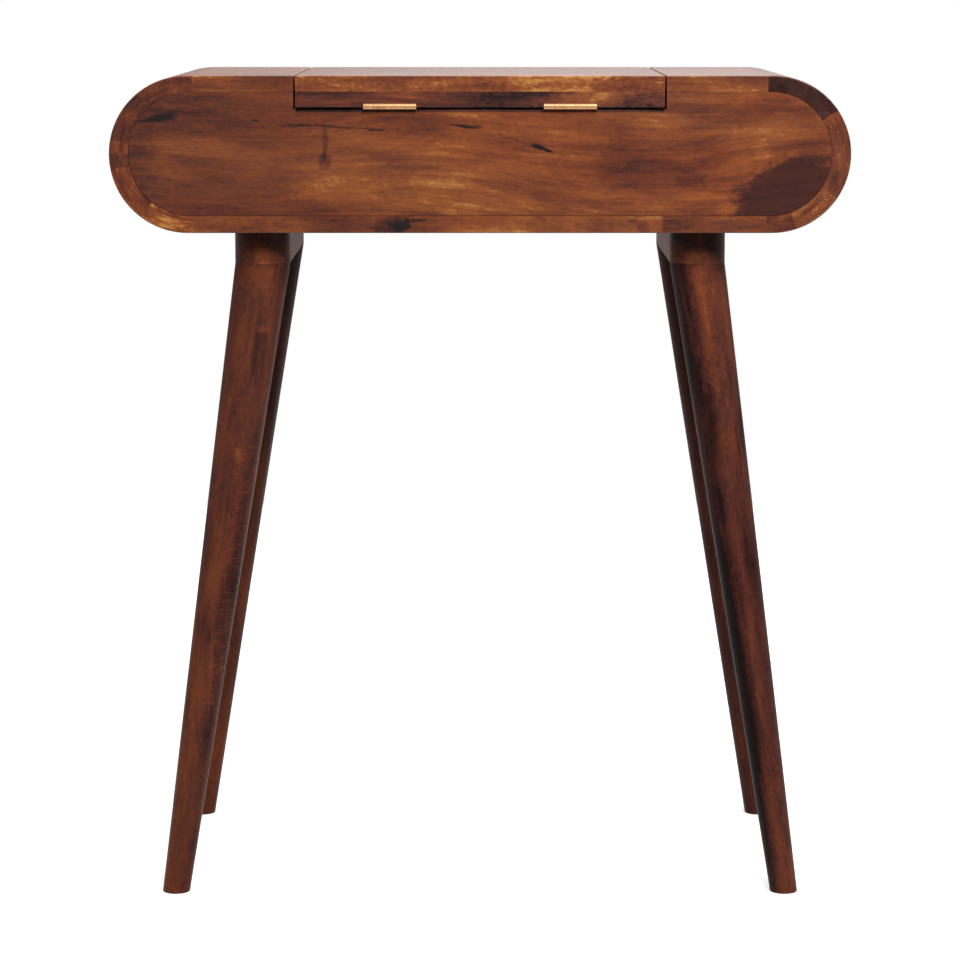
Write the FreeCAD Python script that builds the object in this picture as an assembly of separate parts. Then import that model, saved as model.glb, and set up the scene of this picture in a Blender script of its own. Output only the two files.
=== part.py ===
import FreeCAD, Part
import os
from math import asin, cos, degrees, hypot, radians, sin, sqrt

# Folding vanity table, in millimetres: a stadium-shaped wooden body on four splayed round legs.
# The middle of the top is a lid that swings up on two butt hinges and shows a mirror underneath.
# X runs along the table, Y from the hinge side to the sitter's side, Z up, floor at zero.

# Overall sizes
table_width = 700.0
table_depth = 350.0
table_height = 790.0
body_height = 148.0

# Boards of the body
top_thickness = 15.0
bottom_thickness = 16.0
end_thickness = 18.0
panel_thickness = 18.0
partition_thickness = 16.0
end_lead = 5.0
edge_round = 1.0
panel_chamfer = 0.5
glue_gap = 0.1

# Dowels that hold the round ends to the top and bottom boards
dowel_diameter = 6.0
dowel_length = 40.0
dowel_inset = 55.0

# Lid and the batten frame under it
lid_width = 348.0
lid_gap = 1.8
batten_height = 15.0
batten_width = 20.0
rest_gap = 0.2
lid_opening = 100.0
scoop_width = 70.0
scoop_depth = 10.0

# Mirror on the underside of the lid
mirror_fit = 0.5
backing_thickness = 2.5
glass_thickness = 4.0
bead_width = 8.0
bead_height = 6.0
bead_lip = 2.0

# Butt hinges
hinge_length = 50.0
hinge_spacing = 170.0
barrel_radius = 3.0
barrel_offset = 1.6
leaf_width = 16.0
leaf_thickness = 1.5
leaf_clearance = 0.3
mortise_clearance = 0.5
knuckle_count = 5
knuckle_gap = 0.3
knuckle_relief = 0.4
pin_radius = 1.4
pin_press = 0.01
pin_running_fit = 0.05
leaf_screw_pitch = 17.0
leaf_screw_length = 12.0
leaf_screw_radius = 1.4
leaf_screw_head = 2.6

# Slotted brass stays that stop the lid
stay_radius = 50.0
stay_pivot_rise = 6.0
stay_stud_drop = 25.0
stay_channel = 8.0
arm_width = 10.0
arm_thickness = 2.0
arm_tail = 1.5
stay_shoulder = 2.0
stay_collar = 4.0
stay_head = 1.6
stay_play = 0.1
stay_slot_play = 0.2
stay_screw_radius = 1.6
stay_screw_length = 12.0

# Legs and the rails that carry them
rail_inset = 62.5
rail_end_inset = 22.0
rail_width = 53.0
rail_height = 31.0
leg_top_diameter = 52.5
foot_diameter = 26.2
foot_inset_x = 54.0
foot_inset_y = 12.0
foot_round = 1.2
bolt_radius = 4.0
bolt_in_leg = 38.0
bolt_in_rail = 20.0
insert_radius = 6.0
insert_length = 17.0
insert_sink = 2.0
socket_spare = 1.0
bolt_fit = 0.05
rail_screw_length = 34.0
rail_screw_radius = 2.2
rail_screw_head = 4.2
rail_screw_pitch = 70.0
screw_fit = 0.05
screw_slot_width = 0.7
screw_slot_depth = 0.5

# Levels and outlines that follow from the sizes above
half_width = table_width / 2
half_depth = table_depth / 2
body_bottom = table_height - body_height
body_middle = body_bottom + body_height / 2
end_radius = body_height / 2
joint_x = half_width - end_radius - end_lead
cavity_bottom = body_bottom + bottom_thickness
cavity_top = table_height - top_thickness
cavity_middle = (cavity_bottom + cavity_top) / 2
cavity_radius = (cavity_top - cavity_bottom) / 2
cavity_half = half_width - end_thickness
inner_half_depth = half_depth - panel_thickness

# Lid levels and the hinge line
lid_half = lid_width / 2
opening_half = lid_half + lid_gap
lid_bottom = cavity_top - batten_height
hinge_seat = lid_bottom - leaf_clearance - leaf_thickness
axis_y = -half_depth - barrel_offset
axis_z = hinge_seat + barrel_radius
hinge_places = (-hinge_spacing / 2, hinge_spacing / 2)
frame_half_depth = half_depth - batten_width
frame_outer = lid_half - stay_channel
frame_inner = frame_outer - batten_width
glass_top = cavity_top - backing_thickness
bead_top = glass_top - glass_thickness

# Stay geometry: pivot and stud are equally far from the hinge line, so the arm turns half as far as the lid
pivot_angle = degrees(asin(stay_pivot_rise / stay_radius))
pivot_y = axis_y + sqrt(stay_radius**2 - stay_pivot_rise**2)
pivot_z = axis_z + stay_pivot_rise
stud_y = axis_y + stay_radius * cos(radians(stay_stud_drop))
stud_z = axis_z - stay_radius * sin(radians(stay_stud_drop))
closed_span = 2 * stay_radius * sin(radians(pivot_angle + stay_stud_drop) / 2)
open_span = 2 * stay_radius * sin(radians(pivot_angle + stay_stud_drop + lid_opening) / 2)
arm_x = (frame_outer + opening_half) / 2

# Leg axis, from the middle of the foot to the middle of the leg's top
rail_x = joint_x - rail_inset
rail_length = table_depth - 2 * rail_end_inset
rail_bottom = body_bottom - rail_height
foot_x = half_width - foot_inset_x
foot_y = half_depth - foot_inset_y
leg_top_y = rail_length / 2 - rail_width / 2
leg_vector = FreeCAD.Vector(rail_x - foot_x, foot_y - leg_top_y, rail_bottom)

# Directions, and the distance within which two places count as one
tiny = 0.01
across = FreeCAD.Vector(1, 0, 0)
along = FreeCAD.Vector(0, 1, 0)
up = FreeCAD.Vector(0, 0, 1)
origin = FreeCAD.Vector(0, 0, 0)


def box(x0, x1, y0, y1, z0, z1):
    """Block between two corners."""
    return Part.makeBox(x1 - x0, y1 - y0, z1 - z0, FreeCAD.Vector(x0, y0, z0))


def flipped(shape, normal):
    """Mirror image through the origin, across the plane with this normal."""
    return shape.mirror(origin, normal)


def moved(shape, x, y, z):
    """Copy carried to another place."""
    return shape.translated(FreeCAD.Vector(x, y, z))


def edges_near(shape, test):
    """Edges whose two ends and middle all pass the test."""
    chosen = []
    for edge in shape.Edges:
        first, last = edge.ParameterRange
        points = [edge.valueAt(first), edge.valueAt((first + last) / 2), edge.valueAt(last)]
        if all(test(point) for point in points):
            chosen.append(edge)
    return chosen


def stadium(half_length, radius, middle_z, y0, y1):
    """Prism along Y whose outline has straight top and bottom and half-round ends."""
    arc_x = half_length - radius
    top_right = FreeCAD.Vector(arc_x, y0, middle_z + radius)
    bottom_right = FreeCAD.Vector(arc_x, y0, middle_z - radius)
    bottom_left = FreeCAD.Vector(-arc_x, y0, middle_z - radius)
    top_left = FreeCAD.Vector(-arc_x, y0, middle_z + radius)
    right_end = FreeCAD.Vector(half_length, y0, middle_z)
    left_end = FreeCAD.Vector(-half_length, y0, middle_z)
    outline = Part.Wire(
        [
            Part.Arc(top_right, right_end, bottom_right).toShape(),
            Part.makeLine(bottom_right, bottom_left),
            Part.Arc(bottom_left, left_end, top_left).toShape(),
            Part.makeLine(top_left, top_right),
        ]
    )
    return Part.Face(outline).extrude(along * (y1 - y0))


def turned(profile):
    """Solid of revolution about Z from (radius, height) corners, closed along the axis."""
    corners = [FreeCAD.Vector(radius, 0, height) for radius, height in profile]
    outline = Part.makePolygon(corners + corners[:1])
    return Part.Face(outline).revolve(origin, up, 360)


def countersunk(length, shank, head, grow):
    """Countersunk screw driven down Z from its flush head; grow widens it into its own hole."""
    cone = head - shank
    return turned(
        [
            (0, 0),
            (head + grow, 0),
            (shank + grow, -cone),
            (shank + grow, shank - length),
            (0, -length - grow),
        ]
    )


def slotted(length, shank, head):
    """Countersunk screw with a driver slot across its head."""
    half_slot = screw_slot_width / 2
    slot = box(-head, head, -half_slot, half_slot, -screw_slot_depth, screw_slot_depth)
    return countersunk(length, shank, head, 0).cut(slot)


def rod(radius, start, direction, length):
    """Cylinder from a point along a direction."""
    return Part.makeCylinder(radius, length, start, direction)


def save(name, shapes):
    """Write one node; a list of pieces becomes a group of separate solids."""
    shape = Part.makeCompound(shapes) if isinstance(shapes, list) else shapes
    shape.exportStep(os.path.join("parts", name + ".step"))


def ring_dowels(grow):
    """Dowels across the four joints of the ring, three to a joint; grow widens them into their holes."""
    heights = (table_height - top_thickness / 2, body_bottom + bottom_thickness / 2)
    start_x = joint_x - dowel_length / 2 - grow
    reach = dowel_length + 2 * grow
    radius = dowel_diameter / 2 + grow
    pegs = []
    for height in heights:
        for y in (-half_depth + dowel_inset, 0, half_depth - dowel_inset):
            pegs.append(rod(radius, FreeCAD.Vector(start_x, y, height), across, reach))
    return pegs + [flipped(peg, across) for peg in pegs]


def round_end():
    """Half-round right end of the ring, with a short straight lead to each board."""
    outer = stadium(half_width, end_radius, body_middle, -half_depth, half_depth)
    rims = edges_near(outer, lambda p: abs(abs(p.y) - half_depth) < tiny)
    ring = outer.makeFillet(edge_round, rims)
    cavity = stadium(cavity_half, cavity_radius, cavity_middle, -half_depth, half_depth)
    end = box(joint_x, half_width, -half_depth, half_depth, body_bottom, table_height)
    return ring.cut(cavity).common(end).cut(ring_dowels(glue_gap))


def top_board():
    """Fixed right part of the top, from the lid's gap to the round end."""
    board = box(opening_half, joint_x, -half_depth, half_depth, cavity_top, table_height)
    rims = edges_near(board, lambda p: p.z > table_height - tiny)
    eased = [edge for edge in rims if edge.CenterOfMass.x < joint_x - tiny]
    return board.makeFillet(edge_round, eased).cut(ring_dowels(glue_gap))


def rail_screw_places():
    """Where the screws go down through the bottom board into the two rails."""
    rows = (-rail_screw_pitch, 0, rail_screw_pitch)
    return [(side * rail_x, y, cavity_bottom) for side in (-1, 1) for y in rows]


def rail_screw_holes():
    """Holes for the rail screws."""
    hole = countersunk(rail_screw_length, rail_screw_radius, rail_screw_head, screw_fit)
    return [moved(hole, *place) for place in rail_screw_places()]


def bottom_board():
    """Bottom of the body between the round ends."""
    board = box(-joint_x, joint_x, -half_depth, half_depth, body_bottom, cavity_bottom)
    rims = edges_near(board, lambda p: p.z < body_bottom + tiny and abs(abs(p.y) - half_depth) < tiny)
    eased = board.makeFillet(edge_round, rims)
    return eased.cut(ring_dowels(glue_gap) + rail_screw_holes())


def face_panel(notch_bottom):
    """Flat panel that fills the ring on the hinge side, notched for the lid's batten."""
    back = -inner_half_depth
    plate = stadium(
        cavity_half - glue_gap, cavity_radius - glue_gap, cavity_middle, -half_depth, back
    )
    rim = edges_near(plate, lambda p: p.y < -half_depth + tiny)
    eased = plate.makeChamfer(panel_chamfer, rim)
    notch = box(-opening_half, opening_half, -half_depth, back, notch_bottom, table_height)
    return eased.cut(notch)


def hinge_side_panel():
    """Panel under the hinges, with the screw holes of the fixed leaves."""
    return face_panel(hinge_seat).cut(on_fixed_leaves(leaf_screw_hole()))


def user_side_panel():
    """Panel on the sitter's side, with a finger scoop under the lid's edge."""
    seat = lid_bottom - rest_gap
    radius = (scoop_width**2 / 4 + scoop_depth**2) / (2 * scoop_depth)
    middle = FreeCAD.Vector(0, -half_depth, seat - scoop_depth + radius)
    scoop = rod(radius, middle, along, panel_thickness)
    return flipped(face_panel(seat).cut(scoop), along)


def stay_studs(grow):
    """Stop studs of the stays, headed pins that stand in from the two partitions."""
    inner = arm_x - arm_thickness / 2 - stay_play
    outer = arm_x + arm_thickness / 2 + stay_play
    stud = turned(
        [
            (0, inner - stay_head),
            (stay_collar, inner - stay_head),
            (stay_collar, inner),
            (stay_shoulder, inner),
            (stay_shoulder, outer),
            (stay_collar, outer),
            (stay_collar, opening_half),
            (stay_screw_radius + grow, opening_half),
            (stay_screw_radius + grow, opening_half + stay_screw_length + grow),
            (0, opening_half + stay_screw_length + grow),
        ]
    )
    right = moved(stud.rotated(origin, along, 90), 0, stud_y, stud_z)
    return [flipped(right, across), right]


def partition():
    """Right side wall of the well under the lid."""
    outer = opening_half + partition_thickness
    wall = box(
        opening_half,
        outer,
        -inner_half_depth + glue_gap,
        inner_half_depth - glue_gap,
        cavity_bottom,
        cavity_top,
    )
    return wall.cut(stay_studs(screw_fit)[1])


def lid_board():
    """Middle of the top, eased along all its upper edges."""
    board = box(-lid_half, lid_half, -half_depth, half_depth, cavity_top, table_height)
    return board.makeFillet(edge_round, edges_near(board, lambda p: p.z > table_height - tiny))


def long_batten():
    """Batten across the lid's underside, along its hinge edge."""
    batten = box(
        -lid_half, lid_half, -half_depth, -frame_half_depth, lid_bottom, cavity_top
    )
    rim = edges_near(batten, lambda p: p.z < lid_bottom + tiny and p.y < -half_depth + tiny)
    return batten.makeFillet(edge_round, rim)


def hinge_batten():
    """Hinge-side batten with a mortise for each hinge and the screw holes of the moving leaves."""
    reach = axis_y + leaf_width + mortise_clearance
    half_mortise = hinge_length / 2 + mortise_clearance
    mortise = box(-half_mortise, half_mortise, -half_depth, reach, lid_bottom, axis_z + barrel_radius)
    mortises = [moved(mortise, x, 0, 0) for x in hinge_places]
    return long_batten().cut(mortises + on_moving_leaves(leaf_screw_hole()))


def stay_pivots(grow):
    """Shoulder screws that carry the stays on the two side battens."""
    inner = arm_x - arm_thickness / 2 - stay_play
    outer = arm_x + arm_thickness / 2 + stay_play
    pivot = turned(
        [
            (0, frame_outer - stay_screw_length - grow),
            (stay_screw_radius + grow, frame_outer - stay_screw_length - grow),
            (stay_screw_radius + grow, frame_outer),
            (stay_collar, frame_outer),
            (stay_collar, inner),
            (stay_shoulder, inner),
            (stay_shoulder, outer),
            (stay_collar, outer),
            (stay_collar, outer + stay_head),
            (0, outer + stay_head),
        ]
    )
    right = moved(pivot.rotated(origin, along, 90), 0, pivot_y, pivot_z)
    return [flipped(right, across), right]


def side_batten():
    """Right batten of the lid's frame, set in from the lid's edge to leave room for the stay."""
    batten = box(
        frame_inner, frame_outer, -frame_half_depth, frame_half_depth, lid_bottom, cavity_top
    )
    return batten.cut(stay_pivots(screw_fit)[1])


def mirror_plate(top, thickness):
    """Flat sheet that fills the batten frame."""
    half_x = frame_inner - mirror_fit
    half_y = frame_half_depth - mirror_fit
    return box(-half_x, half_x, -half_y, half_y, top - thickness, top)


def mirror_bead(length):
    """Mitred quarter-round bead along X that holds the glass; its back stands on the plane y = 0."""
    radius = bead_height - bead_lip
    flat = bead_width - radius

    def at(y, z):
        """Point of the section at the bead's left end."""
        return FreeCAD.Vector(-length / 2, y, z)

    bend = radius * cos(radians(45))
    corners = [
        at(flat, -bead_height),
        at(0, -bead_height),
        at(0, 0),
        at(bead_width, 0),
        at(bead_width, -bead_lip),
    ]
    nose = Part.Arc(corners[-1], at(flat + bend, -bead_lip - bend), corners[0]).toShape()
    section = Part.Wire(Part.makePolygon(corners).Edges + [nose])
    bar = Part.Face(section).extrude(across * length)
    plan = [
        FreeCAD.Vector(-length / 2, 0, -bead_height),
        FreeCAD.Vector(length / 2, 0, -bead_height),
        FreeCAD.Vector(length / 2 - bead_width, bead_width, -bead_height),
        FreeCAD.Vector(-length / 2 + bead_width, bead_width, -bead_height),
    ]
    mitre = Part.Face(Part.makePolygon(plan + plan[:1])).extrude(up * bead_height)
    return bar.common(mitre)


def mirror_beads():
    """The four beads round the glass, by the side they lie on."""
    long_bead = moved(mirror_bead(2 * frame_inner), 0, -frame_half_depth, bead_top)
    side_bead = mirror_bead(2 * frame_half_depth).rotated(origin, up, 90)
    right_bead = moved(side_bead, frame_inner, 0, bead_top)
    return {
        "hinge_side": long_bead,
        "user_side": flipped(long_bead, along),
        "left": flipped(right_bead, across),
        "right": right_bead,
    }


def knuckle(index, radius, spare):
    """One knuckle of the hinge barrel as a plain cylinder, longer by spare at both ends."""
    pitch = hinge_length / knuckle_count
    start = -hinge_length / 2 + index * pitch + knuckle_gap / 2 - spare
    reach = pitch - knuckle_gap + 2 * spare
    return rod(radius, FreeCAD.Vector(start, 0, 0), across, reach)


def hinge_leaf(first_knuckle, fit):
    """Hinge leaf under the barrel: plate, own knuckles, room for the other leaf's, three screw holes."""
    own = range(first_knuckle, knuckle_count, 2)
    others = [index for index in range(knuckle_count) if index not in own]
    half_length = hinge_length / 2
    plate = box(-half_length, half_length, 0, leaf_width, -barrel_radius, leaf_thickness - barrel_radius)
    room = [knuckle(index, barrel_radius + knuckle_relief, knuckle_gap) for index in others]
    leaf = plate.cut(room).fuse([knuckle(index, barrel_radius, 0) for index in own])
    bore = rod(pin_radius + fit, FreeCAD.Vector(-half_length, 0, 0), across, hinge_length)
    holes = [moved(leaf_screw_hole(), *place) for place in leaf_screw_row()]
    return leaf.cut([bore] + holes).removeSplitter()


def leaf_screw_hole():
    """Countersunk hole for one hinge screw."""
    return countersunk(leaf_screw_length, leaf_screw_radius, leaf_screw_head, screw_fit)


def leaf_screw_row():
    """Screw heads on one leaf, relative to the middle of the hinge barrel."""
    row_y = (barrel_radius + leaf_width) / 2
    return [(step * leaf_screw_pitch, row_y, leaf_thickness - barrel_radius) for step in (-1, 0, 1)]


def on_fixed_leaves(screw):
    """Six copies that go down through the fixed leaves into the panel."""
    row = [moved(screw, *place) for place in leaf_screw_row()]
    return [moved(piece, x, axis_y, axis_z) for x in hinge_places for piece in row]


def on_moving_leaves(screw):
    """Six copies that go up through the moving leaves into the batten."""
    row = [flipped(moved(screw, *place), up) for place in leaf_screw_row()]
    return [moved(piece, x, axis_y, axis_z) for x in hinge_places for piece in row]


def stay_arm():
    """Right stay: flat arm with an eye on the lid's pivot and a slot that runs along the stud."""
    x0 = arm_x - arm_thickness / 2

    def strap(near, far, radius):
        """Flat strip with round ends, hanging from the pivot straight down Z."""
        strip = stadium(radius + (far - near) / 2, radius, 0, x0, x0 + arm_thickness)
        upright = strip.rotated(origin, up, -90).rotated(origin, across, 90)
        return moved(upright, 0, 0, -(near + far) / 2)

    blank = strap(0, open_span + arm_tail, arm_width / 2)
    slot = strap(closed_span - stay_slot_play, open_span, stay_shoulder + stay_slot_play)
    eye = rod(stay_shoulder + stay_play, FreeCAD.Vector(x0, 0, 0), across, arm_thickness)
    lean = -degrees(asin((pivot_y - stud_y) / hypot(pivot_y - stud_y, pivot_z - stud_z)))
    hung = blank.cut([slot, eye]).rotated(origin, across, lean)
    return moved(hung, 0, pivot_y, pivot_z)


def leg_rod(radius, below, above):
    """Cylinder about the axis of the right leg on the hinge side, at its top."""
    direction = FreeCAD.Vector(leg_vector).normalize()
    joint = FreeCAD.Vector(rail_x, -leg_top_y, rail_bottom)
    return rod(radius, joint - direction * below, direction, below + above)


def leg_insert():
    """Threaded sleeve set into the rail for the leg bolt."""
    outer = leg_rod(insert_radius, -insert_sink, insert_sink + insert_length)
    return outer.cut(leg_rod(bolt_radius + bolt_fit, 0, rail_height))


def leg():
    """Round tapered right leg on the hinge side, splayed both ways and cut level at both ends."""
    direction = FreeCAD.Vector(leg_vector).normalize()
    foot = FreeCAD.Vector(foot_x, -foot_y, 0)
    length = leg_vector.Length
    spare = foot_diameter
    taper = (leg_top_diameter - foot_diameter) / 2 / length
    low = foot_diameter / 2 - taper * spare
    high = leg_top_diameter / 2 + taper * spare
    cone = Part.makeCone(low, high, length + 2 * spare, foot - direction * spare, direction)
    trimmed = cone.common(box(0, half_width, -table_depth, 0, 0, rail_bottom))
    rounded = trimmed.makeFillet(foot_round, edges_near(trimmed, lambda p: p.z < tiny))
    return rounded.cut(leg_rod(bolt_radius + bolt_fit, bolt_in_leg + bolt_fit, bolt_in_rail))


def leg_rail():
    """Right rail under the body, half-round at both ends, with sockets for its two legs."""
    lying = stadium(rail_length / 2, rail_width / 2, 0, 0, rail_height)
    turned_up = lying.rotated(origin, across, 90).rotated(origin, up, 90)
    bar = moved(turned_up, rail_x, 0, rail_bottom)
    depth = max(bolt_in_rail, insert_sink + insert_length) + socket_spare
    socket = leg_rod(insert_radius + bolt_fit, insert_radius, depth)
    sockets = [socket, flipped(socket, along)]
    return bar.cut(sockets + rail_screw_holes())


def four_times(shape):
    """The same piece at all four legs."""
    pair = [shape, flipped(shape, along)]
    return pair + [flipped(piece, across) for piece in pair]


os.makedirs("parts", exist_ok=True)

# Body
save("bottom_board", bottom_board())
save("panel_hinge_side", hinge_side_panel())
save("panel_user_side", user_side_panel())
save("joint_dowels", ring_dowels(0))

# Pieces made once and repeated on the other side
pairs = {
    "round_end": round_end(),
    "top_board": top_board(),
    "partition": partition(),
    "leg_rail": leg_rail(),
    "lid_batten": side_batten(),
    "stay_arm": stay_arm(),
}
for name, right_piece in pairs.items():
    save(name + "_right", right_piece)
    save(name + "_left", flipped(right_piece, across))

# Legs with their bolts
leg_names = ("hinge_right", "user_right", "hinge_left", "user_left")
for name, piece in zip(leg_names, four_times(leg())):
    save("leg_" + name, piece)
save("leg_bolts", four_times(leg_rod(bolt_radius, bolt_in_leg, bolt_in_rail)))
save("leg_inserts", four_times(leg_insert()))
rail_screw = slotted(rail_screw_length, rail_screw_radius, rail_screw_head)
save("rail_screws", [moved(rail_screw, *place) for place in rail_screw_places()])

# Lid with its mirror
save("lid_board", lid_board())
save("lid_batten_hinge_side", hinge_batten())
save("lid_batten_user_side", flipped(long_batten(), along))
save("mirror_backing", mirror_plate(cavity_top, backing_thickness))
save("mirror_glass", mirror_plate(glass_top, glass_thickness))
for side, bead in mirror_beads().items():
    save("mirror_bead_" + side, bead)

# Hinges
fixed_leaf = hinge_leaf(0, pin_press)
moving_leaf = flipped(hinge_leaf(1, pin_running_fit), up)
pin = rod(pin_radius, FreeCAD.Vector(-hinge_length / 2, 0, 0), across, hinge_length)
for name, hinge_x in zip(("left", "right"), hinge_places):
    save("hinge_fixed_leaf_" + name, moved(fixed_leaf, hinge_x, axis_y, axis_z))
    save("hinge_moving_leaf_" + name, moved(moving_leaf, hinge_x, axis_y, axis_z))
    save("hinge_pin_" + name, moved(pin, hinge_x, axis_y, axis_z))
leaf_screw = slotted(leaf_screw_length, leaf_screw_radius, leaf_screw_head)
save("hinge_fixed_screws", on_fixed_leaves(leaf_screw))
save("hinge_moving_screws", on_moving_leaves(leaf_screw))

# Stay fixings
save("stay_studs", stay_studs(0))
save("stay_pivots", stay_pivots(0))
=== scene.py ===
from math import pi
from typing import NamedTuple

import bpy
import numpy as np
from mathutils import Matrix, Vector


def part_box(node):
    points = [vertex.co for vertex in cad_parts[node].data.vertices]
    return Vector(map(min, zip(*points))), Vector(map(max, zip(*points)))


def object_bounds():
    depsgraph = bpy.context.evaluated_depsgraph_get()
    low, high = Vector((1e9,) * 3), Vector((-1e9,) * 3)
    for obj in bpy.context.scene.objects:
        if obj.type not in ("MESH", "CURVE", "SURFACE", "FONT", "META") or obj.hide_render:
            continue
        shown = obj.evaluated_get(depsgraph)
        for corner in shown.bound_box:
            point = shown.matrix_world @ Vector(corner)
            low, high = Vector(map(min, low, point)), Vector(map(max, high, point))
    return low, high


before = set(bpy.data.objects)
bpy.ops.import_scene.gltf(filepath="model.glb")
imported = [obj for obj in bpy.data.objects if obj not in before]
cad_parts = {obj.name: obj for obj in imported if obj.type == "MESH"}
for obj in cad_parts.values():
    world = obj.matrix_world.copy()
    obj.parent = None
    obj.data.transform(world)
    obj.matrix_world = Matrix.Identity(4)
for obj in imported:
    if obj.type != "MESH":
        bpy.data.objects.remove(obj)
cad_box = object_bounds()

bl_info = {
    "name": "Folding Vanity Table",
    "version": (1, 0, 0),
    "blender": (4, 5, 0),
    "location": "View3D > Sidebar > Vanity",
    "description": "Finishes a vanity table in chestnut-stained wood, brass and mirror glass",
    "category": "Object",
}

# Sizes of the finishes, in metres
SAME_LEVEL = 0.0001  # corners of a ring differ by less in height
SEAM = 0.0018  # gap under the lid's hinge-side batten
SEAM_SHADE_FULL = 0.0006  # below the notch's edge, where the seam's shade is full
SEAM_SHADE_END = 0.0036  # below the notch's edge, where it ends
SKIN = 0.001  # depth in which a face's own figure fades out
EDGE_WEAR = 0.004  # width of the wear along a board's edges and round the feet
EDGE_SHADE_FULL = 0.004  # in from the hinge-side face, where the bottom board's shades are full
EDGE_SHADE_END = 0.01  # in from the hinge-side face, where they end
RIM_WEAR = 0.0025  # width of the wear along a round end's rim, on its faces
RIM_WEAR_ROUND = 0.003  # the same on its curve
TOP_LACQUER_START = 0.012  # below the top, where the top's lacquer starts
TOP_LACQUER_FULL = 0.002  # below the top, where it has its full weight
THROUGH = 5.0  # half depth of a mark that goes right through the table
LEG_MARKS_INSET = 0.03  # from the body's hinge-side face to the marks on legs and rails
LEG_SIDES = 0.1  # half width of the change from the left legs to the right ones
LEG_ROWS = 0.05  # half depth of the change from the hinge side's legs to the sitter's side's
SHADE_TOP = 0.6  # height on the legs where the body's shade is full
SHADE_END = 0.48  # height on the legs where it ends
FLOOR_RADIUS = 2.4
KEY_LIGHT_PLACE = (0.7, -2.3, 3.0)
KEY_LIGHT_SIZE = 1.5
BACK_LIGHT_PLACE = (0.6, 2.6, 2.6)
BACK_LIGHT_SIZE = 2.0
CAMERA_REACH = 100.0

# Other fixed values
FLOOR_CORNERS = 96
BACK_LIGHT_SHARE = 0.25  # of the key light's power
LIGHT_AIM = 0.6  # of the table's height
SENSOR_WIDTH = 36.0  # in millimetres
SEED_SHIFT = (3.7, 0.9, 1.3)  # metres of timber along, across and through the grain for each seed
ROSE = (0.97, 0.86, 0.86)
GLASS_HAZE = (0.7, 0.78, 0.76)
HARDBOARD_DARK = (0.33, 0.22, 0.14)
HARDBOARD_PALE = (0.48, 0.34, 0.22)
HARDBOARD_CLOUD = (0.4, 0.27, 0.17)
BEECH_DARK = (0.72, 0.55, 0.38)
BEECH_PALE = (0.82, 0.68, 0.5)

# Staves of the round ends from the bottom to the top: start as a share of the half turn, and tone
STAVES = {
    "left": (
        (0.0, 0.78), (0.2, 0.54), (0.36, 0.58), (0.437, 0.36), (0.503, 0.5), (0.555, 0.35), (0.78, 0.38),
    ),
    "right": (
        (0.0, 0.4), (0.1, 0.52), (0.31, 0.36), (0.42, 0.42), (0.56, 0.44), (0.69, 0.11), (0.86, 0.09),
    ),
}


def points_of(node):
    """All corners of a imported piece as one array, in metres."""
    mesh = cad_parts[node].data
    flat = np.empty(len(mesh.vertices) * 3, np.float32)
    mesh.vertices.foreach_get("co", flat)
    return flat.reshape(-1, 3)


def middle_at(node, level):
    """Middle of the corners that lie at one height."""
    points = points_of(node)
    ring = points[np.abs(points[:, 2] - level) < SAME_LEVEL]
    return (ring.min(0) + ring.max(0)) / 2


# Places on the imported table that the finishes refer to, in metres
table_top = cad_box[1].z
end_low, end_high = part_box("round_end_right")
lid_low, lid_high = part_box("lid_board")
leg_low, leg_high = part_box("leg_hinge_right")
rail_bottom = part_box("leg_rail_right")[0].z
batten_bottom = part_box("lid_batten_hinge_side")[0].z
notch_bottom = batten_bottom - SEAM
half_depth = end_high.y
body_bottom = end_low.z
body_middle = (end_low.z + end_high.z) / 2
end_radius = (end_high.z - end_low.z) / 2
end_arc_x = end_high.x - end_radius
leg_foot = middle_at("leg_hinge_right", leg_low.z)
leg_top = middle_at("leg_hinge_right", leg_high.z)
leg_lean = (leg_top - leg_foot) / (leg_top[2] - leg_foot[2])
leg_lean_x = float(leg_lean[0])
leg_lean_y = float(leg_lean[1])
leg_axis_x = float(leg_foot[0] - leg_foot[2] * leg_lean[0])
leg_marks_y = -half_depth + LEG_MARKS_INSET


class VanityWood(bpy.types.PropertyGroup):
    """Stain and lacquer of the wooden pieces."""

    heart: bpy.props.FloatVectorProperty(
        name="Heartwood", description="Knots and splits", subtype="COLOR_GAMMA",
        default=(0.105, 0.062, 0.055), min=0, max=1,
    )
    dark: bpy.props.FloatVectorProperty(
        name="Dark", description="Dark growth bands", subtype="COLOR_GAMMA",
        default=(0.31, 0.172, 0.148), min=0, max=1,
    )
    chestnut: bpy.props.FloatVectorProperty(
        name="Chestnut", description="Main colour of the stain", subtype="COLOR_GAMMA",
        default=(0.455, 0.243, 0.161), min=0, max=1,
    )
    amber: bpy.props.FloatVectorProperty(
        name="Amber", description="Light growth bands", subtype="COLOR_GAMMA",
        default=(0.575, 0.328, 0.182), min=0, max=1,
    )
    gold: bpy.props.FloatVectorProperty(
        name="Gold", description="Lightest flecks", subtype="COLOR_GAMMA",
        default=(0.765, 0.54, 0.29), min=0, max=1,
    )
    gloss: bpy.props.FloatProperty(
        name="Lacquer", description="Weight of the clear lacquer", subtype="FACTOR",
        default=0.06, min=0, max=1,
    )
    top_gloss: bpy.props.FloatProperty(
        name="Top lacquer", description="Weight of the thicker lacquer on the flat top", subtype="FACTOR",
        default=0.5, min=0, max=1,
    )


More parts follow.
